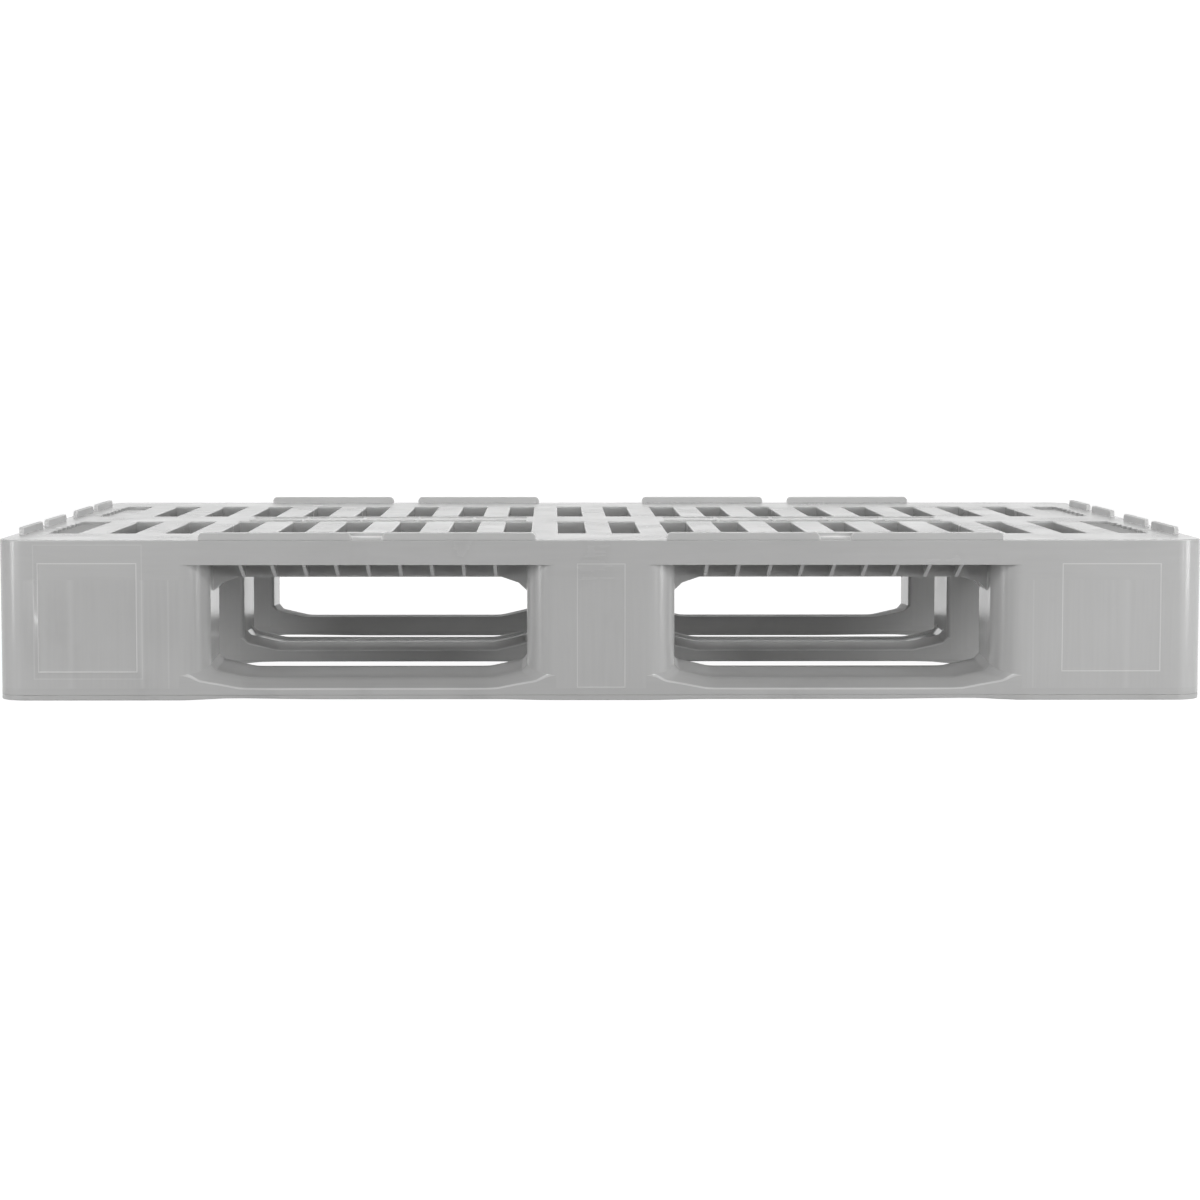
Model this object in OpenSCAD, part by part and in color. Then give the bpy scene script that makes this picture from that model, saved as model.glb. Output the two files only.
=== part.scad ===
// Plastic pallet on three runners, which forks can enter from all four sides.
// Frame: the origin is on the floor under the middle of the pallet. X runs along
// the long side, Y across it with the front side at -Y, and Z is up. Millimetres.

/* [Overall size] */
// Length of the long side
pallet_l = 1200; // [1200:1:1210]
// Width across the pallet, the short side
pallet_w = 800; // [800:1:806]
// Height of the load surface above the floor
deck_z = 160; // [150:1:180]
// Radius of the four upright outer corners
corner_r = 27; // [22:1:30]

/* [Deck] */
// Height of the whole ribbed deck
deck_h = 40; // [36:1:44]
// Height of the skirt over a fork opening
skirt_h = 25; // [20:1:30]
// Thickness of the skirt and of the walls that ring the deck
skirt_t = 4; // [3:0.5:5]
// Thickness of the top plate
plate_t = 4.5; // [3.5:0.5:6]
// Thickness of the ribs under the plate
rib_t = 3.5; // [2.5:0.5:4]
// Distance from the outer face to the wall behind a fork opening's ribs
recess = 46; // [40:1:50]
// Width of one slot in the deck
slot_w = 29; // [24:1:30]
// Length of one slot in the deck
slot_l = 230; // [220:1:232]
// Depth of the closed pockets beside the outermost slots
pocket_h = 3; // [2:0.5:12]

/* [Feet] */
// Length of a corner or side foot along the long side
foot_l = 209.5; // [205:0.5:212]
// Length of a centre foot along the long side
centre_foot_l = 148; // [142:1:152]
// Width of a front or rear foot across the pallet
edge_foot_w = 105; // [100:1:108]
// Width of a middle foot across the pallet
middle_foot_w = 112; // [108:1:114]
// Thickness of a foot's walls
foot_wall = 4; // [3:0.5:4.5]
// Radius of the upright edges where a fork enters
entry_r = 29; // [20:1:32]
// Radius of the upright edges inside the pallet
inner_r = 5; // [5:0.5:8]

/* [Runners] */
// Thickness of the sole plate welded under each runner
sole_t = 5; // [3:0.5:6]
// Height of the seat on a runner, where the feet are welded on
seat_z = 12; // [11:0.5:14]
// Height of a runner's top between two feet
runner_z = 24; // [22:1:26]
// Thickness of a runner's walls
runner_wall = 3.5; // [2.5:0.5:4]
// Distance that a runner's long edges slant inwards
slant = 30; // [15:1:36]

/* [Edge stops] */
// Height of an edge stop above the deck
stop_h = 7.5; // [5:0.5:12]
// Thickness of an edge stop
stop_t = 5; // [4:0.5:7]
// Length of a stop on the long sides
long_stop_l = 152; // [140:1:155]
// Length of a stop on the short sides
short_stop_l = 117; // [100:1:120]
// Distance of the short sides' stops from the outer face
short_stop_inset = 6; // [3:1:10]

/* [Hidden] */
$fn = 64;

// Overshoot of a cut past the face that it opens
eps = 1;

// Half sizes and levels of the deck
half_l = pallet_l / 2;
half_w = pallet_w / 2;
deck_under = deck_z - deck_h;
skirt_z = deck_z - skirt_h;
// The walls behind the ribs of the fork openings
inner_x = half_l - recess;
inner_y = half_w - recess;
// The feet's sides that face each other, and the fork openings between them
centre_foot_x = centre_foot_l / 2;
side_foot_x = half_l - foot_l;
middle_foot_y = middle_foot_w / 2;
edge_foot_y = half_w - edge_foot_w;
long_entry = side_foot_x - centre_foot_x;
short_entry = edge_foot_y - middle_foot_y;

// Slots of one quarter: two beside the centre foot, five over a fork opening and
// two over a side foot. Each value is the edge nearest the middle of the pallet.
slot_edges = concat(
  [for (i = [0 : 1]) 13.5 + 57 * i],
  [for (i = [0 : 4]) 127.8 + 59.4 * i],
  [for (i = [0 : 1]) 421 + 57.8 * i]
);
slot_y = middle_foot_y;
// Rows of blind cells under the planks between two slots
plank_rows = 3;

// Inner edge and width of a pocket, and the thickness of the floor under it
pocket_x = 536.5;
pocket_w = 31;
pocket_floor = 4;
// Teeth along a pocket's outer side
tooth_count = 6;
tooth_pitch = 28.5;
tooth_l = 12;
tooth_w = 4;

// The open cells on both sides of the bar between the two rows of slots: where their
// cross ribs are, half the width of the bar, and how far out the cells reach
channel_edges = [76, 137, 200, 262, 326, 388];
channel_bar = 17;
channel_y = 50;

// Ribs behind the skirt of a fork opening
rib_pitch = 31.7;
long_ribs = 9;
short_ribs = 7;

// Flare of a foot's head under the deck: [distance out, distance below the deck]
flare = [[0, 14], [8.5, 6], [26, 0]];

// Rise of a runner beside a foot: [distance from the foot, rise]
ramp = [[0, 14], [8, 10], [40, 0]];
// Slope of a runner's slanted edges
pitch_up = (runner_z - seat_z) / slant;
// Height of the cut that makes room for the feet on a runner
reach = 60;
// Distance between the cross webs inside a runner
web_pitch = 55;
// Width of runner -1, 0 or 1, counted from the front
function runner_width(r) = r == 0 ? middle_foot_w : edge_foot_w;

// Distance from the middle of a side to the first stop, and the gap to the next
long_stop_first = 65;
long_stop_gap = 31;
short_stop_first = 38;
short_stop_gap = 33;
// Radius of a stop's upper corners
stop_end_r = 5;
// Wall behind the notch between two front stops, its reach behind them and its ledge
bridge_t = 4;
bridge_reach = 5;
ledge_h = 3.2;

// ------------------------------------------------------------ shared shapes

// Copies a shape to all four quarters of the pallet
module four_ways() {
  for (mx = [0, 1], my = [0, 1])
    mirror([mx, 0, 0]) mirror([0, my, 0]) children();
}

// Flat rectangle from its limits
module box_2d(x0, x1, y0, y1) {
  translate([x0, y0]) square([x1 - x0, y1 - y0]);
}

// The waste that rounding with radius r takes off a square corner at the origin
module corner_waste(r) {
  difference() {
    translate([-eps, -eps]) square(r + eps);
    translate([r, r]) circle(r);
  }
}

// Flat rectangle with a radius of its own at each corner: x- y-, x+ y-, x+ y+, x- y+
module round_box_2d(x0, x1, y0, y1, r) {
  difference() {
    box_2d(x0, x1, y0, y1);
    translate([x0, y0]) corner_waste(r[0]);
    translate([x1, y0]) mirror([1, 0]) corner_waste(r[1]);
    translate([x1, y1]) rotate(180) corner_waste(r[2]);
    translate([x0, y1]) mirror([0, 1]) corner_waste(r[3]);
  }
}

// Outline of the whole pallet
module pallet_2d() {
  round_box_2d(-half_l, half_l, -half_w, half_w, [for (i = [0 : 3]) corner_r]);
}

// Feet are counted by column -1, 0, 1 from the left and by row -1, 0, 1 from the front
function foot_x(c) = c == 0 ? [-centre_foot_x, centre_foot_x]
  : c < 0 ? [-half_l, -side_foot_x] : [side_foot_x, half_l];
function foot_y(r) = r == 0 ? [-middle_foot_y, middle_foot_y]
  : r < 0 ? [-half_w, -edge_foot_y] : [edge_foot_y, half_w];
// The four corners of an outline, in the order of its radii
corner_signs = [[-1, -1], [1, -1], [1, 1], [-1, 1]];

// Radius of a foot's corner: pallet corner, fork entry or inner edge
function foot_corner(c, r, s) =
  c == s[0] && r == s[1] ? corner_r : c == s[0] || r == s[1] ? entry_r : inner_r;

// Outline of one foot, taken in by an inset
module foot_2d(c, r, inset = 0) {
  x = foot_x(c);
  y = foot_y(r);
  round_box_2d(x[0] + inset, x[1] - inset, y[0] + inset, y[1] - inset,
    [for (s = corner_signs) foot_corner(c, r, s) - inset]);
}

// Outline of one runner, taken in by an inset
module runner_2d(r, inset = 0) {
  y = foot_y(r);
  round_box_2d(-half_l + inset, half_l - inset, y[0] + inset, y[1] - inset,
    [for (s = corner_signs) foot_corner(s[0], r, s) - inset]);
}

// ------------------------------------------------------------ deck

// The slots of one quarter
module slots_2d() {
  for (x = slot_edges) box_2d(x, x + slot_w, slot_y, slot_y + slot_l);
}

// The open cells beside the middle bar, in one quarter
module channel_2d() {
  for (i = [0 : len(channel_edges) - 2])
    box_2d(channel_edges[i] + rib_t / 2, channel_edges[i + 1] - rib_t / 2, channel_bar, channel_y);
}

// A row of blind cells with ribs between them
module cell_row_2d(x0, x1, y0, y1, count) {
  pitch = (x1 - x0 + rib_t) / count;
  for (i = [0 : count - 1])
    box_2d(x0 + i * pitch, x0 + (i + 1) * pitch - rib_t, y0, y1);
}

// The blind cells between neighbouring slots, in one quarter
module plank_cells_2d() {
  edges = concat(slot_edges, [inner_x - skirt_t + rib_t]);
  pitch = (slot_l + rib_t) / plank_rows;
  for (i = [0 : len(slot_edges) - 1], j = [0 : plank_rows - 1])
    box_2d(edges[i] + slot_w + rib_t, edges[i + 1] - rib_t,
      slot_y + j * pitch, slot_y + (j + 1) * pitch - rib_t);
}

// The blind cells over the inner parts of the feet and beside the inner wall
module band_cells_2d() {
  y0 = slot_y + slot_l + rib_t;
  y1 = inner_y - skirt_t;
  cell_row_2d(rib_t, centre_foot_x - rib_t, y0, y1, 2);
  cell_row_2d(centre_foot_x, side_foot_x, y0, y1, long_ribs + 1);
  cell_row_2d(side_foot_x + rib_t, inner_x - skirt_t, y0, y1, 4);
  cell_row_2d(rib_t, centre_foot_x - rib_t, rib_t, channel_y, 2);
  cell_row_2d(side_foot_x + rib_t, inner_x - skirt_t, rib_t, channel_y, 4);
}

// The hollows over the outer parts of the feet
module foot_cells_2d() {
  for (c = [0, 1], r = [0, 1])
    if (c + r > 0) difference() {
      foot_2d(c, r, skirt_t);
      box_2d(-inner_x, inner_x, -inner_y, inner_y);
    }
}

// The open cells between the ribs behind a skirt. The outer face is at y = 0.
module recess_cells_2d(length, ribs) {
  first = (length - (ribs - 1) * rib_pitch) / 2;
  starts = concat([-rib_t / 2], [for (i = [0 : ribs - 1]) first + i * rib_pitch]);
  ends = concat([for (i = [0 : ribs - 1]) first + i * rib_pitch], [length + rib_t / 2]);
  for (i = [0 : ribs])
    box_2d(starts[i] + rib_t / 2, ends[i] - rib_t / 2, skirt_t, recess);
}

// What a fork opening takes from the bottom of the deck: the skirt, the slanted
// bottoms of the ribs, and the space around the feet's rounded edges
module entry_cut(length) {
  translate([0, 0, deck_under - eps]) linear_extrude(skirt_z - deck_under + eps) {
    box_2d(0, length, -eps, skirt_t);
    mirror([1, 0]) corner_waste(entry_r);
    translate([length, 0]) corner_waste(entry_r);
  }
  rotate([90, 0, 90]) linear_extrude(length)
    polygon([[0, deck_under - eps], [0, skirt_z], [skirt_t, skirt_z], [recess, deck_under],
      [recess, deck_under - eps]]);
}

// Puts a shape made along y = 0 on the long and on the short sides
module at_long_entry() {
  four_ways() translate([centre_foot_x, half_w, 0]) mirror([0, 1, 0]) children();
}
module at_short_entry() {
  four_ways() translate([half_l, middle_foot_y, 0]) rotate(90) children();
}

// Outline of one closed pocket with short teeth along its outer side
module pocket_2d() {
  first = (slot_l - tooth_l - (tooth_count - 1) * tooth_pitch) / 2;
  square([pocket_w, slot_l]);
  for (i = [0 : tooth_count - 1])
    translate([pocket_w - eps, first + i * tooth_pitch]) square([tooth_w, tooth_l]);
}

// The ribbed deck with its skirt
module deck_grid() {
  color("gainsboro") difference() {
    union() {
      translate([0, 0, deck_z - plate_t]) linear_extrude(plate_t) difference() {
        pallet_2d();
        four_ways() slots_2d();
        four_ways() channel_2d();
      }
      translate([0, 0, deck_under]) linear_extrude(deck_h - plate_t) difference() {
        pallet_2d();
        four_ways() slots_2d();
        four_ways() channel_2d();
        four_ways() plank_cells_2d();
        four_ways() band_cells_2d();
        four_ways() foot_cells_2d();
        at_long_entry() recess_cells_2d(long_entry, long_ribs);
        at_short_entry() recess_cells_2d(short_entry, short_ribs);
      }
      four_ways() translate([pocket_x - rib_t, slot_y, deck_z - pocket_h - pocket_floor])
        cube([pocket_w + tooth_w + 2 * rib_t, slot_l, pocket_floor + pocket_h - plate_t]);
    }
    four_ways() translate([pocket_x, slot_y, deck_z - pocket_h])
      linear_extrude(pocket_h + eps) pocket_2d();
    at_long_entry() entry_cut(long_entry);
    at_short_entry() entry_cut(short_entry);
  }
}

// ------------------------------------------------------------ feet

// The part of a span that is inside the pallet, clear of the inner rounded edges
function inner_span(span, limit) = [
  span[0] < -limit ? -limit : span[0] + inner_r,
  span[1] > limit ? limit : span[1] - inner_r
];

// One bar of the flare, along x, growing towards +y
module flare_bar(length) {
  rotate([90, 0, 90]) linear_extrude(length)
    polygon(concat([[0, 0]], [for (p = flare) [p[0], -p[1]]]));
}

// One hollow foot with two or three cross webs and a flared head
module foot(c, r) {
  x = foot_x(c);
  y = foot_y(r);
  xs = inner_span(x, inner_x);
  ys = inner_span(y, inner_y);
  webs = c == 0 ? 1 : 2;
  color("silver") {
    translate([0, 0, seat_z]) linear_extrude(deck_under - seat_z) {
      difference() {
        foot_2d(c, r);
        foot_2d(c, r, foot_wall);
      }
      for (i = [1 : webs])
        translate([x[0] + (x[1] - x[0]) * i / (webs + 1) - rib_t / 2, y[0] + foot_wall / 2])
          square([rib_t, y[1] - y[0] - foot_wall]);
      translate([x[0] + foot_wall / 2, (y[0] + y[1] - rib_t) / 2])
        square([x[1] - x[0] - foot_wall, rib_t]);
    }
    translate([0, 0, deck_under]) {
      if (c < 1) translate([x[1], ys[1], 0]) rotate(-90) flare_bar(ys[1] - ys[0]);
      if (c > -1) translate([x[0], ys[0], 0]) rotate(90) flare_bar(ys[1] - ys[0]);
      if (r < 1) translate([xs[0], y[1], 0]) flare_bar(xs[1] - xs[0]);
      if (r > -1) translate([xs[1], y[0], 0]) rotate(180) flare_bar(xs[1] - xs[0]);
    }
  }
}

// ------------------------------------------------------------ runners

// Cross-section of a span, from the runner's outer side in, before its top is cut
module section_2d(r) {
  w = runner_width(r);
  far = r == 0 ? [[w / 2, seat_z + pitch_up * w / 2], [w, seat_z]] : [[w, seat_z + pitch_up * w]];
  polygon(concat([[0, sole_t], [0, seat_z]], far, [[w, sole_t]]));
}

// Side view of a span: flat in the middle, with a ramp up to the foot at each end
module side_2d() {
  up = concat([[-entry_r, ramp[0][1]]], ramp);
  down = [for (i = [len(up) - 1 : -1 : 0]) [long_entry - up[i][0], up[i][1]]];
  polygon(concat(
    [[-entry_r, sole_t]],
    [for (p = concat(up, down)) [p[0], runner_z + p[1]]],
    [[long_entry + entry_r, sole_t]]
  ));
}

// One span between two feet, along x, with its outer side at y = 0
module span(r) {
  intersection() {
    translate([-entry_r, 0, 0]) rotate([90, 0, 90])
      linear_extrude(long_entry + 2 * entry_r) section_2d(r);
    translate([0, runner_width(r), 0]) rotate([90, 0, 0])
      linear_extrude(runner_width(r)) side_2d();
  }
}

// The hollow inside a span, which stays a wall's thickness below the flat top
module span_hollow(r) {
  w = runner_width(r);
  inner = r == 0 ? w - runner_wall - slant : w - 2 * runner_wall;
  translate([runner_wall, runner_wall + slant, sole_t - eps])
    cube([long_entry - 2 * runner_wall, inner - slant, runner_z - runner_wall - sole_t + eps]);
}

// Puts a shape made from the outer side in on both spans of a runner
module at_spans(r) {
  for (m = [0, 1])
    translate([0, r > 0 ? half_w : foot_y(r)[0], 0]) mirror([0, r > 0 ? 1 : 0, 0])
      mirror([m, 0, 0]) translate([centre_foot_x, 0, 0]) children();
}

// One runner, open underneath, with cross webs and seats for its three feet
module runner(r) {
  webs = floor(half_l / web_pitch) - 1;
  color("lightgray") difference() {
    union() {
      translate([0, 0, sole_t]) linear_extrude(seat_z - sole_t) runner_2d(r);
      difference() {
        at_spans(r) span(r);
        translate([0, 0, seat_z]) linear_extrude(reach)
          for (c = [-1 : 1]) foot_2d(c, r);
      }
    }
    difference() {
      union() {
        translate([0, 0, sole_t - eps]) linear_extrude(seat_z - runner_wall - sole_t + eps)
          runner_2d(r, runner_wall);
        at_spans(r) span_hollow(r);
      }
      for (i = [-webs : webs])
        translate([i * web_pitch - rib_t / 2, -half_w, 0]) cube([rib_t, pallet_w, deck_z]);
    }
  }
}

// The flat plate that closes a runner from below
module sole(r) {
  color("darkgray") linear_extrude(sole_t) runner_2d(r);
}

// ------------------------------------------------------------ edge stops

// One stop along x, with its outer face at y = 0
module stop(length) {
  color("whitesmoke") translate([0, stop_t, 0]) rotate([90, 0, 0]) linear_extrude(stop_t)
    difference() {
      square([length, stop_h]);
      translate([0, stop_h]) mirror([0, 1]) corner_waste(stop_end_r);
      translate([length, stop_h]) rotate(180) corner_waste(stop_end_r);
    }
}

// The low wall behind the notch between two front stops, with a slanted ledge in the notch
module bridge() {
  color("whitesmoke") {
    translate([-bridge_reach, stop_t, 0])
      cube([long_stop_gap + 2 * bridge_reach, bridge_t, stop_h]);
    translate([0, stop_t + eps, 0]) rotate([90, 0, 90]) linear_extrude(long_stop_gap)
      polygon([[-stop_t - eps, 0], [0, 0], [0, ledge_h]]);
  }
}

// Start of stop 1 to 4, counted from the left or from the front
function stop_start(i, length, first, gap) = let (n = i < 3 ? 3 - i : i - 2)
  let (near = first + (n - 1) * (length + gap)) i < 3 ? -near - length : near;
// Start of a stop along a long and along a short side
function long_stop(i) = stop_start(i, long_stop_l, long_stop_first, long_stop_gap);
function short_stop(i) = stop_start(i, short_stop_l, short_stop_first, short_stop_gap);

// Stop 1 to 4 of each side, and the two bridges
module stop_front(i) {
  translate([long_stop(i), -half_w, deck_z]) stop(long_stop_l);
}
module stop_rear(i) {
  mirror([0, 1, 0]) stop_front(i);
}
module stop_right(i) {
  translate([half_l - short_stop_inset, short_stop(i), deck_z]) rotate(90) stop(short_stop_l);
}
module stop_left(i) {
  mirror([1, 0, 0]) stop_right(i);
}
module bridge_right() {
  translate([long_stop_first + long_stop_l, -half_w, deck_z]) bridge();
}
module bridge_left() {
  mirror([1, 0, 0]) bridge_right();
}

// ------------------------------------------------------------ assembly

deck_grid();
foot(-1, -1);  // foot_front_left
foot(0, -1);  // foot_front_centre
foot(1, -1);  // foot_front_right
foot(-1, 0);  // foot_middle_left
foot(0, 0);  // foot_middle_centre
foot(1, 0);  // foot_middle_right
foot(-1, 1);  // foot_rear_left
foot(0, 1);  // foot_rear_centre
foot(1, 1);  // foot_rear_right
runner(-1);  // runner_front
runner(0);  // runner_middle
runner(1);  // runner_rear
sole(-1);  // sole_front
sole(0);  // sole_middle
sole(1);  // sole_rear
stop_front(1);  // stop_front_1
stop_front(2);  // stop_front_2
stop_front(3);  // stop_front_3
stop_front(4);  // stop_front_4
stop_rear(1);  // stop_rear_1
stop_rear(2);  // stop_rear_2
stop_rear(3);  // stop_rear_3
stop_rear(4);  // stop_rear_4
stop_left(1);  // stop_left_1
stop_left(2);  // stop_left_2
stop_left(3);  // stop_left_3
stop_left(4);  // stop_left_4
stop_right(1);  // stop_right_1
stop_right(2);  // stop_right_2
stop_right(3);  // stop_right_3
stop_right(4);  // stop_right_4
bridge_left();
bridge_right();
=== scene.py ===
"""Looks of a grey plastic pallet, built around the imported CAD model. Metres, +Z up."""

import math

import bmesh
import bpy
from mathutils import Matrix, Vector

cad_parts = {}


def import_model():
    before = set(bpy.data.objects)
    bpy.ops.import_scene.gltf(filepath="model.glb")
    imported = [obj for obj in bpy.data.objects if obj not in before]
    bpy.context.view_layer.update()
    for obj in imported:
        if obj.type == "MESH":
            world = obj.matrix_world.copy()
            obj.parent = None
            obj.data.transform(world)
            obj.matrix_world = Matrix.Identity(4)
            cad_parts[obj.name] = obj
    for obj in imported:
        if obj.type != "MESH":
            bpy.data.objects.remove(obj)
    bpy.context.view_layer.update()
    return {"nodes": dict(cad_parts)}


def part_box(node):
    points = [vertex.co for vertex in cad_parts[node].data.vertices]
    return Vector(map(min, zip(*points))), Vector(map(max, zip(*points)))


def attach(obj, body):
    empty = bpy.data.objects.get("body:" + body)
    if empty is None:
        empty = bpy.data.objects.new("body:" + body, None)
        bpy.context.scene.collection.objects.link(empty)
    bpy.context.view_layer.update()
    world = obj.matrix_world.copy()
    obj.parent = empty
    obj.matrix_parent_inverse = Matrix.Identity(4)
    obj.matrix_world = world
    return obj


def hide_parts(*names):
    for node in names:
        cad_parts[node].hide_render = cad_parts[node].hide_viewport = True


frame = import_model()

# ------------------------------------------------------------ places from the frame

BODY = "root"
MM = 0.001
# How near two places count as the same, and how near a cut may pass to a corner
TINY, HAIR = 0.01 * MM, 0.001 * MM
SIDES = ("left", "centre", "right")
ROWS = ("front", "middle", "rear")

# How far a foot's head flares out under the deck, and how far the flare reaches down
FLARE = 26 * MM
FLARE_DOWN = 14 * MM

deck_lo, deck_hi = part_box("deck_grid")
HALF_L, HALF_W = deck_hi.x, deck_hi.y
DECK_TOP, DECK_UNDER = deck_hi.z, deck_lo.z
# The closed pockets of the deck: their floor, and a place between them and the last slots
POCKET_FLOOR = DECK_TOP - 3 * MM
POCKET_X = HALF_L - 65 * MM
# The joints between soles and runners and between runners and feet, and where the upright sides
# of the feet stand along the pallet
SOLE_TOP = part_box("sole_front")[1].z
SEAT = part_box("foot_front_left")[0].z
SIDE_FOOT_X = -(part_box("foot_front_left")[1].x - FLARE)
CENTRE_FOOT_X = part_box("foot_front_centre")[1].x - FLARE

# Upright radii: the pallet's corners, the fork entries and the edges inside
CORNER_R = 27 * MM
ENTRY_R = 29 * MM
INNER_R = 5 * MM

# ------------------------------------------------------------ materials


def node(tree, kind, inputs=None, **settings):
    """Adds a shader node, sets its fields, and sets or links its inputs."""
    made = tree.nodes.new(kind)
    for name, value in settings.items():
        setattr(made, name, value)
    for name, value in (inputs or {}).items():
        if isinstance(value, bpy.types.NodeSocket):
            tree.links.new(value, made.inputs[name])
        else:
            made.inputs[name].default_value = value
    return made


def stretched(tree, scale):
    """Object coordinates, scaled on each axis."""
    place = node(tree, "ShaderNodeTexCoord").outputs["Object"]
    return node(tree, "ShaderNodeMapping", {"Vector": place, "Scale": scale}).outputs["Vector"]


def noise(tree, scale, detail=2.0, rough=0.5):
    """A noise pattern with its own number of waves per metre on each axis."""
    vector = stretched(tree, scale)
    inputs = {"Vector": vector, "Scale": 1.0, "Detail": detail, "Roughness": rough}
    return node(tree, "ShaderNodeTexNoise", inputs).outputs["Fac"]


def ranged(tree, value, low, high, start=0.0, end=1.0):
    """Maps a value from one range to another, and keeps it inside."""
    inputs = {"Value": value, "From Min": start, "From Max": end, "To Min": low, "To Max": high}
    return node(tree, "ShaderNodeMapRange", inputs, clamp=True).outputs["Result"]


def math_node(tree, operation, a, b):
    """One arithmetic step."""
    made = node(tree, "ShaderNodeMath", operation=operation)
    for socket, value in zip(made.inputs, (a, b)):
        if isinstance(value, bpy.types.NodeSocket):
            tree.links.new(value, socket)
        else:
            socket.default_value = value
    return made.outputs["Value"]


def band(tree, x, half, gain):
    """A soft lighter band across the pallet's length at a place x."""
    place = node(tree, "ShaderNodeTexCoord").outputs["Object"]
    along = node(tree, "ShaderNodeSeparateXYZ", {"Vector": place}).outputs["X"]
    away = math_node(tree, "ABSOLUTE", math_node(tree, "SUBTRACT", along, x), 0.0)
    return ranged(tree, away, gain, 0.0, 0.0, half)


def added(tree, *values):
    """The sum of several values."""
    total = values[0]
    for value in values[1:]:
        total = math_node(tree, "ADD", total, value)
    return total


def mark(tree, name, gain):
    """A value that was stored on the faces, times a gain."""
    stored = node(tree, "ShaderNodeAttribute", attribute_name=name).outputs["Fac"]
    return math_node(tree, "MULTIPLY", stored, gain)


# Octaves of detail and roughness of the noise of clouds, smudges and streaks
CLOUD_DETAIL, SMUDGE_DETAIL, STREAK_DETAIL = (3.0, 0.5), (4.0, 0.55), (4.0, 0.6)
# Which values of the noise count: in clouds and streaks, and of a smudge in tone and in gloss
CLOUD_RANGE, SMUDGE_RANGE, SMUDGE_GLOSS = (0.3, 0.7), (0.58, 0.72), (0.35, 0.7)
# Noise waves per metre along x, y and z: clouds of tone, smudges and fine grain
CLOUD_SCALE = (7.0, 7.0, 9.0)
SMUDGE_SCALE = (16.0, 16.0, 11.0)
GRAIN_SCALE = (900.0, 900.0, 900.0)
# Flow streaks: up a foot, along a runner, along the deck, and broad ones on a stop
UPRIGHT = (260.0, 260.0, 9.0)
ALONG = (10.0, 240.0, 240.0)
FLAT = (14.0, 160.0, 160.0)
BROAD = (14.0, 14.0, 30.0)
# How much clouds and streaks change the tone, how much a smudge darkens it, and how much
# lighter an edge is painted: a painted highlight, with a little wear
CLOUD_GAIN, STREAK_GAIN, SMUDGE_GAIN = 0.022, 0.02, -0.05
EDGE_HIGHLIGHT_GAIN = 0.12
# How much rougher a matt face is, and how much darker it is painted: painted shade on the
# runner tops, a darker floor in the front pockets
MATT_ROUGH, MATT_SHADE_TONE = 0.5, -0.12
# How much rougher a smudge is, and how streaks change the roughness
SMUDGE_ROUGH, STREAK_ROUGH = 0.08, (-0.03, 0.04)
# Height and strength of the grain and of the streaks
GRAIN_DEPTH, GRAIN_FORCE = 0.4 * MM, 0.08
STREAK_DEPTH, STREAK_FORCE = 0.6 * MM, 0.12
# Polyethylene's index of refraction
REFRACTION = 1.5
# The plastic is a trace yellower than grey
TINT = (("Red", 1.0), ("Green", 1.0), ("Blue", 0.995))


def tone_of(tree, tone, scuff, bands, streaks, smudge):
    """Colour: clouds, streaks, smudges, edges painted lighter as a highlight, darker matt faces
    (painted shade on the runner tops) and lighter upright bands.
    """
    clouds = noise(tree, CLOUD_SCALE, *CLOUD_DETAIL)
    shade = added(
        tree,
        ranged(tree, clouds, -CLOUD_GAIN, CLOUD_GAIN, *CLOUD_RANGE),
        1.0,
        ranged(tree, streaks, -STREAK_GAIN, STREAK_GAIN, *CLOUD_RANGE),
        ranged(tree, smudge, 0.0, SMUDGE_GAIN - scuff, *SMUDGE_RANGE),
        # Edges painted lighter as a highlight, and matt faces painted darker
        mark(tree, "edge", EDGE_HIGHLIGHT_GAIN),
        mark(tree, "matt_and_shade", MATT_SHADE_TONE),
        *[band(tree, x, half, gain) for x, half, gain in bands],
    )
    colour = node(tree, "ShaderNodeCombineColor")
    for channel, factor in TINT:
        tree.links.new(math_node(tree, "MULTIPLY", shade, tone * factor), colour.inputs[channel])
    return colour.outputs["Color"]


def gloss_of(tree, rough, streaks, smudge):
    """Roughness: more on smudges and matt faces, and uneven along the streaks."""
    return added(
        tree,
        ranged(tree, smudge, rough, rough + SMUDGE_ROUGH, *SMUDGE_GLOSS),
        ranged(tree, streaks, *STREAK_ROUGH),
        mark(tree, "matt_and_shade", MATT_ROUGH),
    )


def relief_of(tree, streaks):
    """Surface normal: fine grain with drawn streaks over it."""
    grain = noise(tree, GRAIN_SCALE)
    inputs = {"Height": grain, "Strength": GRAIN_FORCE, "Distance": GRAIN_DEPTH}
    fine = node(tree, "ShaderNodeBump", inputs).outputs["Normal"]
    inputs = {"Height": streaks, "Strength": STREAK_FORCE, "Distance": STREAK_DEPTH, "Normal": fine}
    return node(tree, "ShaderNodeBump", inputs).outputs["Normal"]


def plastic(name, tone, streak_scale, rough, scuff=0.0, bands=()):
    """Satin moulded polyethylene."""
    material = bpy.data.materials.new(name)
    material.use_nodes = True
    tree = material.node_tree
    shader = tree.nodes["Principled BSDF"]
    streaks = noise(tree, streak_scale, *STREAK_DETAIL)
    smudge = noise(tree, SMUDGE_SCALE, *SMUDGE_DETAIL)
    colour = tone_of(tree, tone, scuff, bands, streaks, smudge)
    tree.links.new(colour, shader.inputs["Base Color"])
    tree.links.new(gloss_of(tree, rough, streaks, smudge), shader.inputs["Roughness"])
    tree.links.new(relief_of(tree, streaks), shader.inputs["Normal"])
    shader.inputs["IOR"].default_value = REFRACTION
    return material


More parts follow.
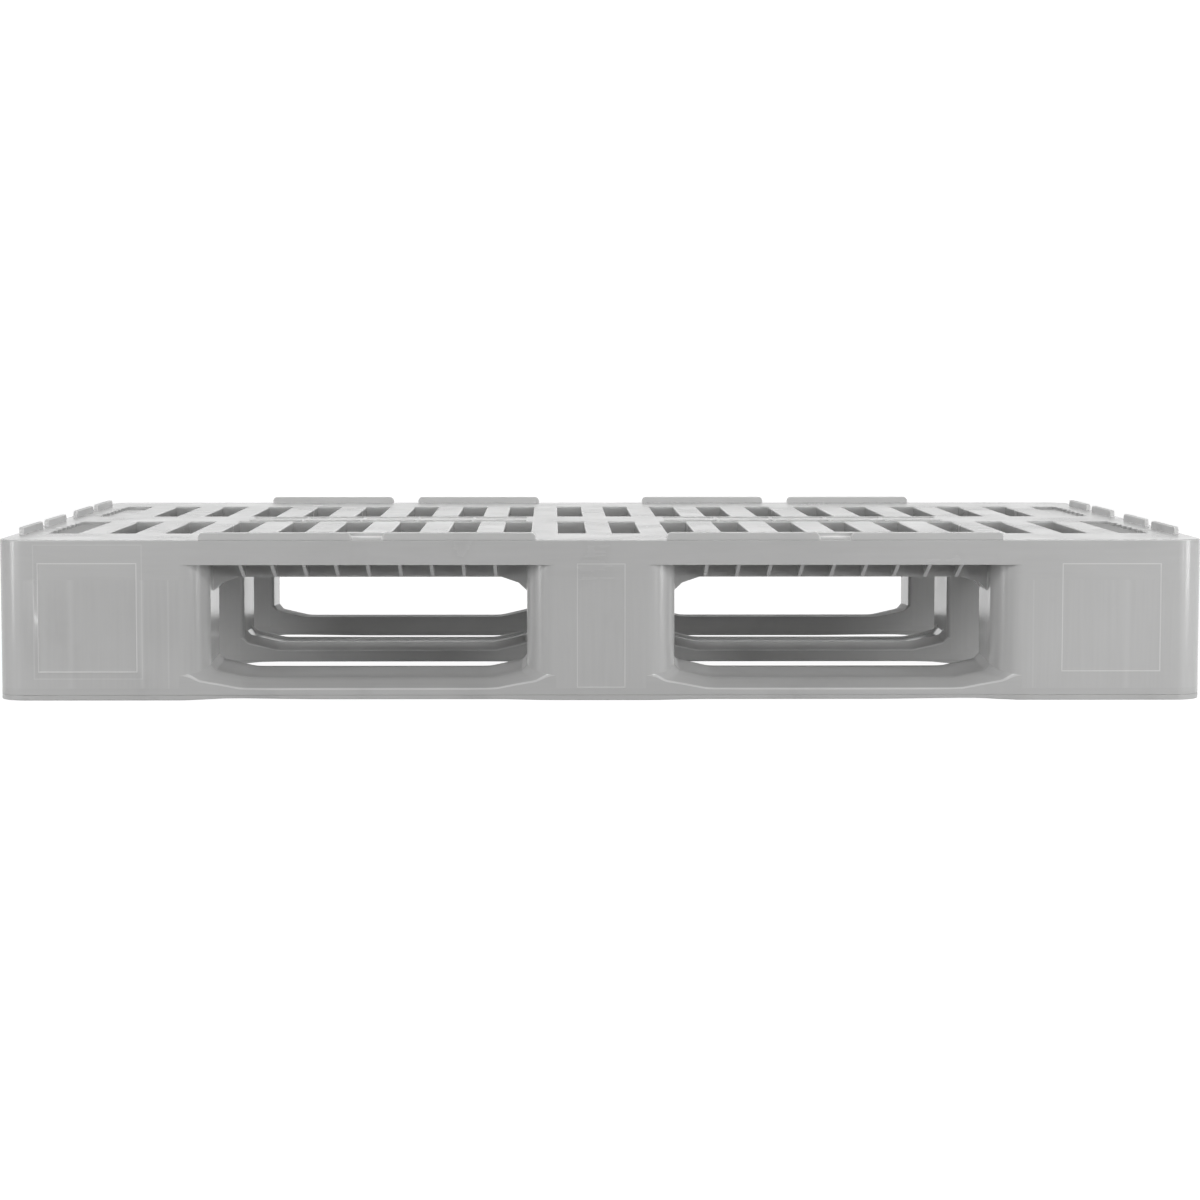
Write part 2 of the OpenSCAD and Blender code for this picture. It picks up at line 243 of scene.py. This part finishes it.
# Lighter upright bands on the feet: place along the pallet, half width, and how much lighter
FOOT_BANDS = (
    (-0.527, 5 * MM, 0.06),
    (0.523, 5 * MM, 0.05),
    (-0.430, 1.2 * MM, 0.09),
    (0.430, 1.2 * MM, 0.07),
    (-0.456, 3 * MM, 0.08),
)
# Tone, direction of the streaks, roughness, how much darker the smudges are, and lighter bands
PLASTICS = {
    "deck_plastic": (0.62, FLAT, 0.2),
    "foot_plastic": (0.62, UPRIGHT, 0.155, 0.0, FOOT_BANDS),
    "runner_plastic": (0.60, ALONG, 0.13),
    "sole_plastic": (0.60, ALONG, 0.2, 0.06),
    "stop_plastic": (0.68, BROAD, 0.3),
}
MATERIALS = {name: plastic(name, *values) for name, values in PLASTICS.items()}

# ------------------------------------------------------------ mesh helpers

# Edges sharper than this are bevelled, and a smooth surface breaks at the second angle
SHARP, BREAK = math.radians(25), math.radians(35)
# A bevel with a circular section
ROUND_PROFILE = 0.5
# Width of the sloping border of a pressed panel
BORDER = 1.1 * MM
# Keeps the corners of a loop from moving further than twice the distance of an inset
LEAST_LEAN = 0.5


def arc(centre, radius, start, steps):
    """Points along a quarter circle, anticlockwise from an angle in quarter turns."""
    turns = [(start + i / steps) * math.pi / 2 for i in range(steps + 1)]
    return [(centre[0] + radius * math.cos(t), centre[1] + radius * math.sin(t)) for t in turns]


def outline(x0, x1, y0, y1, radii, steps=10, longest=1.0):
    """A rounded rectangle, anticlockwise, with a radius for x- y-, x+ y-, x+ y+ and x- y+."""
    a, b, c, d = radii
    points = arc((x0 + a, y0 + a), a, 2, steps) + arc((x1 - b, y0 + b), b, 3, steps)
    points += arc((x1 - c, y1 - c), c, 0, steps) + arc((x0 + d, y1 - d), d, 1, steps)
    full = []
    for p, q in zip(points, points[1:] + points[:1]):
        parts = max(1, math.ceil(math.dist(p, q) / longest))
        for i in range(parts):
            full.append((p[0] + (q[0] - p[0]) * i / parts, p[1] + (q[1] - p[1]) * i / parts))
    return full


def inset(loop, distance):
    """Moves a loop inwards along the normals of its corners."""
    moved = []
    for i, p in enumerate(loop):
        before, after = Vector(loop[i - 1]), Vector(loop[(i + 1) % len(loop)])
        a = (Vector(p) - before).normalized()
        b = (after - Vector(p)).normalized()
        inward = Vector((-(a.y + b.y), a.x + b.x)).normalized()
        lean = max(LEAST_LEAN, inward.dot(Vector((-a.y, a.x))))
        moved.append((p[0] + inward.x * distance / lean, p[1] + inward.y * distance / lean))
    return moved


def shell(bm, levels):
    """Closes a skin over a stack of loops with the same number of points."""
    rings = [[bm.verts.new(p) for p in level] for level in levels]
    count = len(rings[0])
    for low, high in zip(rings, rings[1:]):
        for i in range(count):
            j = (i + 1) % count
            bm.faces.new((low[i], low[j], high[j], high[i]))
    bm.faces.new(list(reversed(rings[0])))
    bm.faces.new(rings[-1])


def prism(bm, loop, z0, z1, r0=0.0, r1=0.0, steps=3, lift=None):
    """An upright solid with rounded bottom and top edges. lift(x) raises its underside."""
    lift = lift or (lambda x: 0.0)
    quarter = [i / steps * math.pi / 2 for i in range(steps + 1)]
    low = [(r0 * (1 - math.sin(t)), z0 + r0 * (1 - math.cos(t))) for t in quarter] if r0 else [(0, z0)]
    high = [(r1 * (1 - math.cos(t)), z1 - r1 * (1 - math.sin(t))) for t in quarter] if r1 else [(0, z1)]
    levels = [[(x, y, z + lift(x)) for x, y in inset(loop, d)] for d, z in low]
    levels += [[(x, y, z) for x, y in inset(loop, d)] for d, z in high]
    shell(bm, levels)


def face_mark(bm, name):
    """The layer of a value that is stored on the faces for the materials."""
    return bm.faces.layers.float.get(name) or bm.faces.layers.float.new(name)


def cut(bm, geom, axis, value):
    """Divides some of a mesh where a plane across an axis passes."""
    point, normal = Vector((0, 0, 0)), Vector((0, 0, 0))
    point[axis], normal[axis] = value, 1.0
    bmesh.ops.bisect_plane(bm, geom=geom, dist=HAIR, plane_co=point, plane_no=normal)


def side_faces(bm, at):
    """The faces that lie in the flat side at a place y."""
    return [f for f in bm.faces if all(abs(v.co.y - at) < TINY for v in f.verts)]


def within(spot, rect, slack):
    """Whether a place lies in a rectangle of x and z, give or take some slack."""
    x0, x1, z0, z1 = rect
    return x0 - slack <= spot.x <= x1 + slack and z0 - slack <= spot.z <= z1 + slack


def press(bm, at, rect, depth, shine):
    """Presses a rectangle of a long side inwards, with a sloping border that is painted lighter as a
    highlight.
    """
    x0, x1, z0, z1 = rect
    inner = (x0 + BORDER, x1 - BORDER, z0 + BORDER, z1 - BORDER)
    cuts = [(0, x) for x in (x0, inner[0], inner[1], x1)]
    cuts += [(2, z) for z in (z0, inner[2], inner[3], z1)]
    for axis, value in cuts:
        faces = side_faces(bm, at)
        edges = dict.fromkeys(e for f in faces for e in f.edges)
        corners = dict.fromkeys(v for f in faces for v in f.verts)
        cut(bm, faces + list(edges) + list(corners), axis, value)
    # The sloping border is painted lighter as a highlight
    edge_highlight = face_mark(bm, "edge")
    for face in side_faces(bm, at):
        spot = face.calc_center_median()
        if within(spot, rect, 0.0) and not within(spot, inner, 0.0):
            face[edge_highlight] = shine
    for v in bm.verts:
        if within(v.co, inner, TINY) and abs(v.co.y - at) < TINY:
            v.co.y -= math.copysign(depth, at)


def soften(bm, radius, chosen, segments=2, shine=1.0):
    """Bevels the sharp ones of the chosen edges, and stores on the new faces how much they are painted
    lighter as a highlight.
    """
    edge_highlight = face_mark(bm, "edge")
    edges = [e for e in bm.edges if len(e.link_faces) == 2 and e.calc_face_angle() > SHARP]
    edges = [e for e in edges if chosen(e)]
    made = bmesh.ops.bevel(
        bm, geom=edges, offset=radius, segments=segments, profile=ROUND_PROFILE, affect="EDGES",
        clamp_overlap=True,
    )
    for face in made["faces"]:
        face[edge_highlight] = shine


def piece(bm, name, slot, nodes):
    """Turns a bmesh into a finished piece that stands for CAD nodes."""
    bmesh.ops.recalc_face_normals(bm, faces=bm.faces)
    mesh = bpy.data.meshes.new(name)
    bm.to_mesh(mesh)
    bm.free()
    mesh.shade_smooth()
    mesh.set_sharp_from_angle(angle=BREAK)
    mesh.materials.append(MATERIALS[slot])
    made = bpy.data.objects.new(name, mesh)
    bpy.context.scene.collection.objects.link(made)
    weighted = made.modifiers.new("flat faces stay flat", "WEIGHTED_NORMAL")
    weighted.keep_sharp = True
    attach(made, BODY)
    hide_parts(*nodes)
    return made


# ------------------------------------------------------------ deck and feet

# Faces that bend less than this are merged
FLATNESS = math.radians(0.5)
# Rounding of the deck's slots, closed pockets, outer rim and lower edges, and of the feet
SLOT_ROUND, POCKET_ROUND, RIM_ROUND = 1.5 * MM, 0.3 * MM, 1.4 * MM
LOWER_ROUND, FOOT_ROUND = 0.7 * MM, 0.5 * MM
# How much these edges are painted lighter as a highlight
SLOT_HIGHLIGHT, POCKET_HIGHLIGHT, LOWER_HIGHLIGHT = 1.6, 0.5, 1.6
# How far down from the load surface the bevels of its openings reach, at most
BEVEL_REACH = 2 * MM


def cad_mesh(name):
    """A welded copy of a CAD node's shape with its flat faces merged."""
    bm = bmesh.new()
    bm.from_mesh(frame["nodes"][name].data)
    bmesh.ops.remove_doubles(bm, verts=bm.verts, dist=2 * HAIR)
    bmesh.ops.dissolve_limit(bm, angle_limit=FLATNESS, verts=bm.verts, edges=bm.edges)
    return bm


def long_stops():
    """Where the stops of the long sides begin and end along the pallet."""
    boxes = [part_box(name) for name in frame["nodes"] if name.startswith("stop_front")]
    return [(lo.x, hi.x) for lo, hi in boxes]


def cut_rim(bm):
    """Divides the outer edge of the load surface where a flush stop begins or ends."""
    for x in [x for ends in long_stops() for x in ends]:
        rim = [e for e in bm.edges if on_rim(e)]
        geom = rim + list(dict.fromkeys(v for e in rim for v in e.verts))
        cut(bm, geom, 0, x)


def on_rim(edge):
    """The outer edge of the load surface."""
    if any(abs(v.co.z - DECK_TOP) > TINY for v in edge.verts):
        return False
    middle = (edge.verts[0].co + edge.verts[1].co) / 2
    return max(abs(middle.x) - HALF_L, abs(middle.y) - HALF_W) > -CORNER_R / 2


def under_stop(edge):
    """A part of the outer edge that a flush stop continues upwards."""
    middle = (edge.verts[0].co + edge.verts[1].co) / 2
    on_long_side = abs(middle.y) > HALF_W - 10 * TINY
    return on_long_side and any(x0 < middle.x < x1 for x0, x1 in long_stops())


def on_slot(edge):
    """An edge of an opening in the load surface."""
    return all(abs(v.co.z - DECK_TOP) < TINY for v in edge.verts) and not on_rim(edge)


def on_pocket(edge):
    """An edge of a closed pocket with its fine teeth."""
    return on_slot(edge) and all(abs(v.co.x) > POCKET_X for v in edge.verts)


def touches_top(edge):
    """An edge in the bevel around an opening of the load surface."""
    return any(v.co.z > DECK_TOP - BEVEL_REACH for v in edge.verts)


def at_joint(edge):
    """An edge in the plane where the deck meets the feet."""
    return all(abs(v.co.z - DECK_UNDER) < TINY for v in edge.verts)


# Panels of the long sides: x from, x to, z from, z to, depth of the ground, depth pressed
# into it, and how much lighter the border is painted as a highlight. They cross the joint of deck and
# feet.
PANELS = (
    (-0.564, -0.4555, 0.021, 0.1555, 0.0, 0.25 * MM, 0.8),
    (-0.5598, -0.461, 0.028, 0.137, 0.25 * MM, 0.9 * MM, 2.6),
    (-0.0242, 0.0242, 0.0125, 0.1365, 0.0, 0.7 * MM, 1.8),
    (0.4585, 0.5572, 0.0285, 0.1365, 0.0, 0.8 * MM, 2.2),
)


def press_panels(bm, x0, x1):
    """Presses the panels between two places along the pallet into both long sides."""
    for side in (-1, 1):
        for u0, u1, v0, v1, ground, depth, shine in PANELS:
            if side > 0:
                u0, u1 = -u1, -u0
            if u0 >= x0 and u1 <= x1:
                press(bm, side * (HALF_W - ground), (u0, u1, v0, v1), depth, shine)


def deck():
    """The slotted deck with its skirt and ribs."""
    bm = cad_mesh("deck_grid")
    cut_rim(bm)
    # Bevels of the openings, lower edges and rim are painted lighter as a highlight
    soften(bm, SLOT_ROUND, lambda e: on_slot(e) and not on_pocket(e), 3, SLOT_HIGHLIGHT)
    soften(bm, POCKET_ROUND, on_pocket, 2, POCKET_HIGHLIGHT)
    soften(bm, LOWER_ROUND, lambda e: not (on_rim(e) or at_joint(e) or touches_top(e)), 2, LOWER_HIGHLIGHT)
    soften(bm, RIM_ROUND, lambda e: on_rim(e) and not under_stop(e), 4)
    press_panels(bm, -HALF_L, HALF_L)
    # The front pocket floors are matt and darker
    matt_and_shade = face_mark(bm, "matt_and_shade")
    for face in bm.faces:
        spot = face.calc_center_median()
        if spot.y < 0 and abs(spot.z - POCKET_FLOOR) < TINY:
            face[matt_and_shade] = 1.0
    return piece(bm, "deck", "deck_plastic", ["deck_grid"])


def outer_edge(edge, lo, hi):
    """An edge of a foot's flared head that isn't on a joint."""
    joints = sum(min(v.co.z - lo.z, hi.z - v.co.z) < TINY for v in edge.verts)
    return joints < 2 and all(v.co.z > hi.z - FLARE_DOWN - TINY for v in edge.verts)


def foot(row, side):
    """One foot with its flared head."""
    name = "foot_%s_%s" % (row, side)
    lo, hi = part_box(name)
    bm = cad_mesh(name)
    soften(bm, FOOT_ROUND, lambda e: outer_edge(e, lo, hi))
    press_panels(bm, lo.x, hi.x)
    return piece(bm, "visual_" + name, "foot_plastic", [name])


deck()
for row in ROWS:
    for side in SIDES:
        foot(row, side)

# ------------------------------------------------------------ runners and soles

# A runner's plate with the longest step of its outline and its lower rounding, then the upright
# outer face, the slant along the long edge and the nearly flat top with the bend between them
PLATE_TOP = 9 * MM
PLATE_STEP, PLATE_ROUND = 40 * MM, 0.6 * MM
FACE_TOP = 12 * MM
SLANT_W, SLANT_TOP = 25 * MM, 20.6 * MM
BACK_TOP = 24 * MM
SLANT_SOFT = 1.5 * MM
MIDDLE_FACE_TOP, MIDDLE_SLANT_W = 17 * MM, 26 * MM
# The shallow tray in the middle runner's top, between two rims
TRAY, TRAY_WALL, RIM_W = 2.8 * MM, 2 * MM, 1.5 * MM

# The ramp beside a foot and the fillet where it meets the foot
RAMP_L, RAMP_SLOPE, RAMP_SOFT = 38 * MM, 0.232, 3 * MM
FILLET, FILLET_SOFT = 5 * MM, 0.8 * MM


def soft_max(value, softness):
    """The positive part of a value, with a rounded bend."""
    return (value + math.sqrt(value * value + softness * softness)) / 2


def rise(gap):
    """How much higher a runner's top is at a distance from a foot."""
    return RAMP_SLOPE * soft_max(RAMP_L - gap, RAMP_SOFT) + soft_max(FILLET - gap, FILLET_SOFT)


def bend(y, r0, r1, y0, y1):
    """How far a foot's outline draws back from its flat side at a place y, and the distance law."""
    for edge, r in ((y - y0, r0), (y1 - y, r1)):
        if edge < r:
            away = r - edge
            return r - math.sqrt(max(0.0, r * r - away * away)), lambda px: math.hypot(px + r, away) - r
    return 0.0, lambda px: px


def edge_section(d, width):
    """Height of the front or rear runner's top at a distance from its outer face."""
    slant = FACE_TOP + (SLANT_TOP - FACE_TOP) * d / SLANT_W
    flat = SLANT_TOP + (BACK_TOP - SLANT_TOP) * (d - SLANT_W) / (width - SLANT_W)
    return slant - soft_max(slant - flat, SLANT_SOFT)


def middle_section(d, width):
    """Height of the middle runner's top: slanted on both long edges."""
    d = min(d, width - d)
    slant = MIDDLE_FACE_TOP + (BACK_TOP - MIDDLE_FACE_TOP) * d / MIDDLE_SLANT_W
    inside = (d - MIDDLE_SLANT_W - RIM_W) / TRAY_WALL
    return min(slant, BACK_TOP) - TRAY * min(1.0, max(0.0, inside))


# Places along a span near a foot, and across a runner from its front and from its rear edge:
# close together where the surface bends
NEAR = [n * MM for n in (0, 1, 2, 3, 4, 5, 6, 8, 11, 15, 20, 26, 31, 34, 36, 38, 40, 42, 45, 50, 60)]
FROM_FRONT = [
    n * MM for n in (3, 5, 8, 12, 17, 21, 24, 25, 26, 27.5, 28, 29.5, 30, 38, 50, 62, 74)
]
FROM_REAR = [n * MM for n in (29.5, 27.5, 26, 24, 15, 8, 5, 3.5, 2.5)]
# Equal steps along the rest of a span
LONG_STEPS = 10
# Rounding of a runner's outer and inner long edges, its steps, and the steps of a corner
ROUND, ROUND_IN = 1.3 * MM, 0.5 * MM
ROUND_STEPS, CORNER_STEPS = 4, 12
# No other row lies nearer to a long edge than this
ROUND_ZONE = 2 * MM
# How much lighter a runner's long edges are painted as a highlight, and how matt its flat top or
# middle slants are, which also paints them darker as shade
CREASE_HIGHLIGHT = 1.8
TOP_MATT_AND_SHADE = 0.6


def rounding(radius):
    """Distances from an edge with how far its rounding lowers the surface there."""
    turn = [i / ROUND_STEPS * math.pi / 2 for i in range(ROUND_STEPS + 1)]
    return [(radius * (1 - math.cos(t)), radius * (1 - math.sin(t))) for t in turn]


def rows_across(width, near, far):
    """Distances from the front edge with how far the two rounded edges lower them there."""
    inner = set(FROM_FRONT + [width - d for d in FROM_REAR])
    inner = sorted(d for d in inner if ROUND_ZONE < d < width - ROUND_ZONE)
    back = [(width - d, drop) for d, drop in reversed(rounding(far))]
    return rounding(near) + [(d, 0.0) for d in inner] + back


def places_along(left, right):
    """Places from one end of a row of a span to the other."""
    middle = left + NEAR[-1]
    step = (right - left - 2 * NEAR[-1]) / LONG_STEPS
    middles = [middle + step * i for i in range(1, LONG_STEPS)]
    return [left + n for n in NEAR] + middles + [right - n for n in reversed(NEAR)]


def close_below(bm, grid):
    """Walls around a sheet of corners, and a floor under it at the height of the plate."""
    rim = grid[0] + [line[-1] for line in grid[1:]] + list(reversed(grid[-1][:-1]))
    rim += [line[0] for line in reversed(grid[1:-1])]
    foot_line = [bm.verts.new((v.co.x, v.co.y, PLATE_TOP)) for v in rim]
    for i in range(len(rim)):
        j = (i + 1) % len(rim)
        bm.faces.new((foot_line[i], foot_line[j], rim[j], rim[i]))
    bm.faces.new(list(reversed(foot_line)))


def creases(across, width, outer):
    """Which rows lie on a rounded edge that shows: the outer one, or both of the middle runner."""
    return [drop > 0 and (outer == 0 or (d < width / 2) == (outer < 0)) for d, drop in across]


def matt_and_shade_rows(across, width, outer):
    """Which rows lie on the flat top, or on the slants of the middle runner: matt and painted darker as
    shade.
    """
    if outer == 0:
        return [drop == 0 and min(d, width - d) < MIDDLE_SLANT_W for d, drop in across]
    return [(width - d if outer > 0 else d) > SLANT_W for d, drop in across]


def span(bm, x0, x1, y0, y1, r0, r1, section, outer):
    """The part of a runner between two feet: a smooth top that climbs to both feet."""
    width = y1 - y0
    grid = []
    across = rows_across(width, ROUND if outer < 1 else ROUND_IN, ROUND if outer > -1 else ROUND_IN)
    for d, drop in across:
        back, law = bend(y0 + d, r0, r1, y0, y1)
        xs = places_along(x0 - back, x1 + back)
        top = section(width - d if outer > 0 else d, width) - drop
        line = [(x, y0 + d, top + rise(max(0.0, law(min(x - x0, x1 - x))))) for x in xs]
        grid.append([bm.verts.new(p) for p in line])
    # Rounded long edges are painted lighter as a highlight; the flat top and middle slants are matt and
    # painted darker as shade
    edge_highlight, matt_and_shade = face_mark(bm, "edge"), face_mark(bm, "matt_and_shade")
    crease, flat = creases(across, width, outer), matt_and_shade_rows(across, width, outer)
    for row in range(len(grid) - 1):
        low, high = grid[row], grid[row + 1]
        for i in range(len(low) - 1):
            made = bm.faces.new((low[i], low[i + 1], high[i + 1], high[i]))
            made[edge_highlight] = CREASE_HIGHLIGHT if crease[row] or crease[row + 1] else 0.0
            made[matt_and_shade] = TOP_MATT_AND_SHADE if flat[row] and flat[row + 1] else 0.0
    close_below(bm, grid)


def runner_outline(row, longest):
    """A runner's outline, with the pallet's corners outside and entry radii inside."""
    lo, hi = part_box("runner_" + row)
    front = CORNER_R if row == "front" else ENTRY_R
    rear = CORNER_R if row == "rear" else ENTRY_R
    return outline(-HALF_L, HALF_L, lo.y, hi.y, (front, front, rear, rear), CORNER_STEPS, longest)


def seats(row, y0, y1, r0, r1):
    """Outlines of the three places of a runner that carry a foot."""
    front = CORNER_R if row == "front" else ENTRY_R
    rear = CORNER_R if row == "rear" else ENTRY_R
    left = outline(-HALF_L, -SIDE_FOOT_X, y0, y1, (front, r0, r1, rear))
    centre = outline(-CENTRE_FOOT_X, CENTRE_FOOT_X, y0, y1, (r0, r0, r1, r1))
    right = outline(SIDE_FOOT_X, HALF_L, y0, y1, (r0, front, rear, r1))
    return left, centre, right


def runner(row):
    """One runner: a plate, a seat under each foot and two spans between them."""
    lo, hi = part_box("runner_" + row)
    bm = bmesh.new()
    prism(bm, runner_outline(row, PLATE_STEP), SOLE_TOP, PLATE_TOP, PLATE_ROUND)
    outer = {"front": -1, "middle": 0, "rear": 1}[row]
    r0 = ENTRY_R if row == "front" else INNER_R
    r1 = ENTRY_R if row == "rear" else INNER_R
    for loop in seats(row, lo.y, hi.y, r0, r1):
        prism(bm, loop, PLATE_TOP, SEAT)
    section = middle_section if row == "middle" else edge_section
    span(bm, -SIDE_FOOT_X, -CENTRE_FOOT_X, lo.y, hi.y, r0, r1, section, outer)
    span(bm, CENTRE_FOOT_X, SIDE_FOOT_X, lo.y, hi.y, r0, r1, section, outer)
    return piece(bm, "visual_runner_" + row, "runner_plastic", ["runner_" + row])


# How high a sole stands clear of the floor: at an edge runner, how much more beside the outer
# feet, and at the middle runner
RELIEF, RELIEF_OUTER, MIDDLE_RELIEF = 1.1 * MM, 1.5 * MM, 4.2 * MM
# How long the climb beside a foot is, and how far the extra height reaches
RELIEF_RUN, RELIEF_FADE = 60 * MM, 110 * MM
# Steps along a sole's outline and across its underside
SOLE_STEP, STRIP = 20 * MM, 25 * MM
# Lower rounding of a sole, of the middle one, and the upper rounding that draws the joint line
SOLE_ROUND, MIDDLE_ROUND, JOINT_ROUND = 0.8 * MM, 0.3 * MM, 0.3 * MM


def relief(row):
    """How far a sole stands clear of the floor between the feet: most beside the outer feet."""
    def lift(x):
        gap = min(abs(x) - CENTRE_FOOT_X, SIDE_FOOT_X - abs(x)) + RELIEF_RUN / 2
        part = min(1.0, max(0.0, gap / RELIEF_RUN))
        outer = min(1.0, max(0.0, 1 - abs(SIDE_FOOT_X - abs(x)) / RELIEF_FADE))
        height = MIDDLE_RELIEF if row == "middle" else RELIEF + RELIEF_OUTER * outer
        return height * part * part * (3 - 2 * part)
    return lift


def sole(row):
    """One sole plate with a joint line to its runner, cut into strips."""
    bm = bmesh.new()
    low_round = MIDDLE_ROUND if row == "middle" else SOLE_ROUND
    loop = runner_outline(row, SOLE_STEP)
    prism(bm, loop, 0.0, SOLE_TOP, low_round, JOINT_ROUND, lift=relief(row))
    for i in range(1, int(2 * HALF_L / STRIP)):
        cut(bm, list(bm.verts) + list(bm.edges) + list(bm.faces), 0, -HALF_L + i * STRIP)
    return piece(bm, "visual_sole_" + row, "sole_plastic", ["sole_" + row])


for row in ROWS:
    runner(row)
    sole(row)

# ------------------------------------------------------------ edge stops

# Rounding of the stops and bridges, and how much lighter their edges are painted as a highlight
STOP_ROUND = 1.1 * MM
STOP_HIGHLIGHT, BRIDGE_HIGHLIGHT = 1.5, 3.5


def stop(name):
    """One edge stop or bridge, softened all over except where it stands on the deck."""
    bm = cad_mesh(name)
    # Their bevels are painted lighter as a highlight, most on the bridges
    shine = BRIDGE_HIGHLIGHT if name.startswith("bridge_") else STOP_HIGHLIGHT
    soften(bm, STOP_ROUND, lambda e: any(v.co.z > DECK_TOP + 10 * TINY for v in e.verts), 3, shine)
    return piece(bm, "visual_" + name, "stop_plastic", [name])


for name in frame["nodes"]:
    if name.startswith(("stop_", "bridge_")):
        stop(name)

# ------------------------------------------------------------ stage, light and camera

# The floor's tone and roughness under real light, its glow when it is seen, and its half width
FLOOR_TONE, FLOOR_ROUGH, FLOOR_GLOW = 0.12, 0.9, 0.97
FLOOR_HALF = 4.0
# Brightness of the surroundings in front of the pallet and behind it, where the change lies along
# y, and the band of heights in which they fade out upwards
WORLD_FRONT, WORLD_BACK = 0.05, 1.2
WORLD_TURN = (0.6, 0.9)
WORLD_FADE = (0.2, 0.4)
# Where the lights aim: the front side, the rear side, the deck, and both ends of the front
FRONT, REAR, TOP = (0.0, -0.4, 0.1), (0.0, 0.4, 0.1), (0.0, 0.0, 0.1)
LEFT_END, RIGHT_END = (-0.5, -0.4, 0.08), (0.5, -0.4, 0.08)
# Soft lights: name, place, target, size and power in watts
LIGHTS = (
    ("front strip", (0.0, -2.6, 2.6), FRONT, (3.4, 0.35), 35.0),
    ("right box", (3.3, -4.2, 1.1), FRONT, (0.6, 2.3), 44.0),
    ("left box", (-3.3, -4.0, 1.1), FRONT, (0.6, 2.3), 27.0),
    ("top fill", (0.0, 0.0, 3.2), TOP, (1.4, 0.7), 15.0),
    ("rear strip", (0.0, 1.7, 3.0), REAR, (3.0, 0.35), 26.0),
    ("left end", (-1.7, -1.1, 0.38), LEFT_END, (0.3, 0.76), 7.0),
    ("right end", (1.7, -1.1, 0.38), RIGHT_END, (0.4, 0.76), 9.0),
)
# The camera: sensor and lens in mm, shift, distance from the front side, place, and how many
# degrees it looks down and aside
SENSOR, LENS, SHIFT_X, SHIFT_Y = 36.0, 87.88, 0.0235, -0.0069
CAMERA_AWAY, CAMERA_X, CAMERA_Z = 2.900, -0.0502, 0.331
CAMERA_DOWN, CAMERA_ASIDE = 4.39, -0.414


def area_light(name, place, target, size, power):
    """A soft rectangular light that points at a target."""
    light = bpy.data.lights.new(name, "AREA")
    light.shape = "RECTANGLE"
    light.size, light.size_y = size
    light.energy = power
    made = bpy.data.objects.new(name, light)
    made.location = place
    made.rotation_euler = (Vector(target) - Vector(place)).to_track_quat("-Z", "Y").to_euler()
    bpy.context.scene.collection.objects.link(made)


def seen(tree):
    """1 for rays from the camera and for glossy reflections, else 0."""
    path = node(tree, "ShaderNodeLightPath").outputs
    return math_node(tree, "MAXIMUM", path["Is Camera Ray"], path["Is Glossy Ray"])


def floor():
    """A plain floor: white by its own glow when seen or mirrored, and dark grey to other light."""
    mesh = bpy.data.meshes.new("floor")
    half = FLOOR_HALF
    corners = [(-half, -half, 0), (half, -half, 0), (half, half, 0), (-half, half, 0)]
    mesh.from_pydata(corners, [], [(0, 1, 2, 3)])
    made = bpy.data.objects.new("floor", mesh)
    bpy.context.scene.collection.objects.link(made)
    material = bpy.data.materials.new("floor")
    material.use_nodes = True
    tree = material.node_tree
    shader = tree.nodes["Principled BSDF"]
    shader.inputs["Base Color"].default_value = (FLOOR_TONE, FLOOR_TONE, FLOOR_TONE, 1.0)
    shader.inputs["Roughness"].default_value = FLOOR_ROUGH
    shader.inputs["Emission Color"].default_value = (1.0, 1.0, 1.0, 1.0)
    glow = math_node(tree, "MULTIPLY", seen(tree), FLOOR_GLOW)
    tree.links.new(glow, shader.inputs["Emission Strength"])
    mesh.materials.append(material)


def world():
    """Dim in front of the pallet, bright behind it, and white where the camera looks."""
    made = bpy.data.worlds.new("studio")
    bpy.context.scene.world = made
    made.use_nodes = True
    tree = made.node_tree
    ground = tree.nodes["Background"]
    towards = node(tree, "ShaderNodeTexCoord").outputs["Generated"]
    parts = node(tree, "ShaderNodeSeparateXYZ", {"Vector": towards}).outputs
    low = ranged(tree, parts["Z"], 1.0, 0.0, *WORLD_FADE)
    back = ranged(tree, parts["Y"], WORLD_FRONT, WORLD_BACK, *WORLD_TURN)
    level = math_node(tree, "MULTIPLY", back, low)
    eye = node(tree, "ShaderNodeLightPath").outputs["Is Camera Ray"]
    tree.links.new(math_node(tree, "MAXIMUM", level, eye), ground.inputs["Strength"])
    ground.inputs["Color"].default_value = (1.0, 1.0, 1.0, 1.0)


def camera():
    """The reference view: square on to the front side, from about 3 m away and 0.33 m up."""
    made = bpy.data.cameras.new("camera")
    made.sensor_width = SENSOR
    made.lens = LENS
    made.shift_x = SHIFT_X
    made.shift_y = SHIFT_Y
    made.dof.use_dof = False
    holder = bpy.data.objects.new("camera", made)
    holder.location = (CAMERA_X, -HALF_W - CAMERA_AWAY, CAMERA_Z)
    holder.rotation_euler = (math.radians(90 - CAMERA_DOWN), 0.0, math.radians(CAMERA_ASIDE))
    bpy.context.scene.collection.objects.link(holder)
    bpy.context.scene.camera = holder


floor()
world()
for light in LIGHTS:
    area_light(*light)
camera()
bpy.context.scene.view_settings.view_transform = "Standard"
